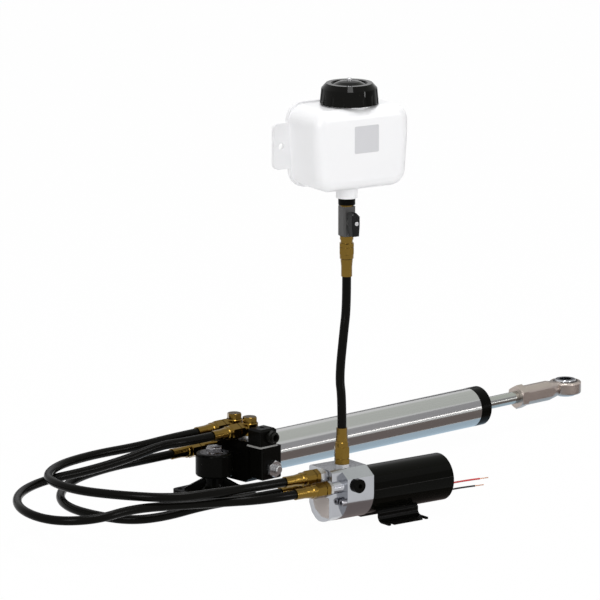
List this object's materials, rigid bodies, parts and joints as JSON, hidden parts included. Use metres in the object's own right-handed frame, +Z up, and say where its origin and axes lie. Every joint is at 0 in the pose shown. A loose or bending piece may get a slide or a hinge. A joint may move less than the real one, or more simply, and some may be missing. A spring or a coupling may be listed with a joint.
{
  "type": "hydraulic steering ram kit",
  "caption": "Hydraulic linear steering ram on a ball foot, with reversible gear pump and motor, header tank with tap, pressure hoses and supply hose",
  "frame": {"origin": "centre of the foot plate's underside, on the mounting surface", "axes": "+X runs along the ram from the ball foot to the rod eye, +Z is up from the mounting surface"},
  "size_m": [1.0011, 0.3224, 0.5497],
  "materials": {
    "black_casting": "semi-gloss black paint",
    "ball_steel": "satin steel",
    "ring_steel": "dark turned steel",
    "tube_metal": "polished",
    "black_anodised": "matte black",
    "seal_rubber": "smooth",
    "machined_steel": "turned steel",
    "rod_chrome": "hard chrome, polished",
    "rod_end_steel": "satin steel, warm grey",
    "eye_chrome": "polished",
    "zinc_steel": "bright zinc plate",
    "black_plastic": "fine grained",
    "grey_rubber": "smooth light grey",
    "fitting_brass": "turned and crimped, bright yellow",
    "adapter_steel": "turned, plated",
    "pump_aluminium": "satin, die cast and machined",
    "core_steel": "laminated core",
    "motor_paint": "gloss black",
    "magnet_ferrite": "sintered, dark grey",
    "card_plastic": "brown laminate",
    "saddle_paint": "matte black",
    "red_insulation": "smooth red sleeve",
    "black_insulation": "smooth black sleeve",
    "lead_copper": "bare copper strands",
    "tank_plastic": "satin white",
    "cap_plastic": "gloss black",
    "tap_metal": "mid grey, satin",
    "lever_plastic": "satin black",
    "hose_rubber": "smooth cover, soft sheen"
  },
  "bodies": {
    "base": {"foot_base": "black_casting", "foot_ball": "ball_steel", "pump_head": "pump_aluminium", "shoulder_bolts": "ball_steel", "side_plug": "black_anodised", "motor_front_plate": "machined_steel", "motor_bearings": "machined_steel", "motor_can": "motor_paint", "motor_end_cap": "motor_paint", "motor_magnets": "magnet_ferrite", "brush_card": "card_plastic", "motor_saddle": "saddle_paint", "red_lead": "red_insulation", "black_lead": "black_insulation", "lead_tips": "lead_copper", "tank_shell": "tank_plastic", "tail_ring": "black_anodised", "tap_body": "tap_metal", "tap_tail": "fitting_brass", "pump_adapters": "adapter_steel", "fixed_hose_nuts": "fitting_brass", "fixed_hose_ferrules": "fitting_brass", "upper_hose": "hose_rubber", "front_hose": "hose_rubber", "rear_hose": "hose_rubber", "supply_hose": "hose_rubber"},
    "ram": {"port_block": "black_casting", "socket_ring": "ring_steel", "cylinder_tube": "tube_metal", "gland": "black_anodised", "rod_seals": "seal_rubber", "bypass_stem": "zinc_steel", "bypass_coil": "black_plastic", "coil_nut": "zinc_steel", "connector_gasket": "grey_rubber", "connector_shell": "black_plastic", "cable_nut": "zinc_steel", "banjo_washers": "zinc_steel", "banjo_rings": "fitting_brass", "banjo_bolts": "fitting_brass", "side_elbow": "fitting_brass", "ram_hose_nuts": "fitting_brass", "ram_hose_ferrules": "fitting_brass"},
    "rod": {"piston": "machined_steel", "piston_seals": "seal_rubber", "piston_nut": "machined_steel", "piston_rod": "rod_chrome", "lock_nut": "rod_end_steel", "rod_eye": "rod_end_steel"},
    "eye": {"eye_ball": "eye_chrome"},
    "rotor": {"armature": "core_steel", "drive_gear": "machined_steel"},
    "idler": {"driven_gear": "machined_steel"},
    "cap": {"filler_cap": "cap_plastic", "cap_vent": "zinc_steel", "cap_seal": "seal_rubber"},
    "lever": {"tap_ball": "rod_chrome", "tap_lever": "lever_plastic", "lever_screw": "zinc_steel"}
  },
  "joints": [
    {"name": "ram_swing", "type": "hinge", "parent": "base", "child": "ram", "pos_m": [0, 0, 0.04], "axis": [0, 0, 1], "range_deg": [-15, 15], "deforming": ["upper_hose", "front_hose", "rear_hose"]},
    {"name": "rod_slide", "type": "slide", "parent": "ram", "child": "rod", "axis": [1, 0, 0], "range_m": [-0.04, 0.214]},
    {"name": "eye_swivel", "type": "hinge", "parent": "rod", "child": "eye", "pos_m": [0.612, 0, 0.04], "axis": [0, 0, 1], "continuous": true},
    {"name": "motor_spin", "type": "hinge", "parent": "base", "child": "rotor", "pos_m": [-0.017, -0.221, 0.04], "axis": [0.9936, -0.1132, 0], "continuous": true},
    {"name": "idler_spin", "type": "hinge", "parent": "base", "child": "idler", "pos_m": [-0.017, -0.221, 0.022], "axis": [0.9936, -0.1132, 0], "continuous": true},
    {"name": "cap_turn", "type": "hinge", "parent": "base", "child": "cap", "pos_m": [0.013, -0.2267, 0.52], "axis": [0, 0, 1], "range_deg": [0, 360]},
    {"name": "tap_turn", "type": "hinge", "parent": "base", "child": "lever", "pos_m": [0.00977, -0.22601, 0.37605], "axis": [-0.2079, -0.9781, 0], "range_deg": [0, 90]}
  ],
  "couplings": [
    {"joint": "idler_spin", "follows": "motor_spin", "ratio": -1}
  ]
}
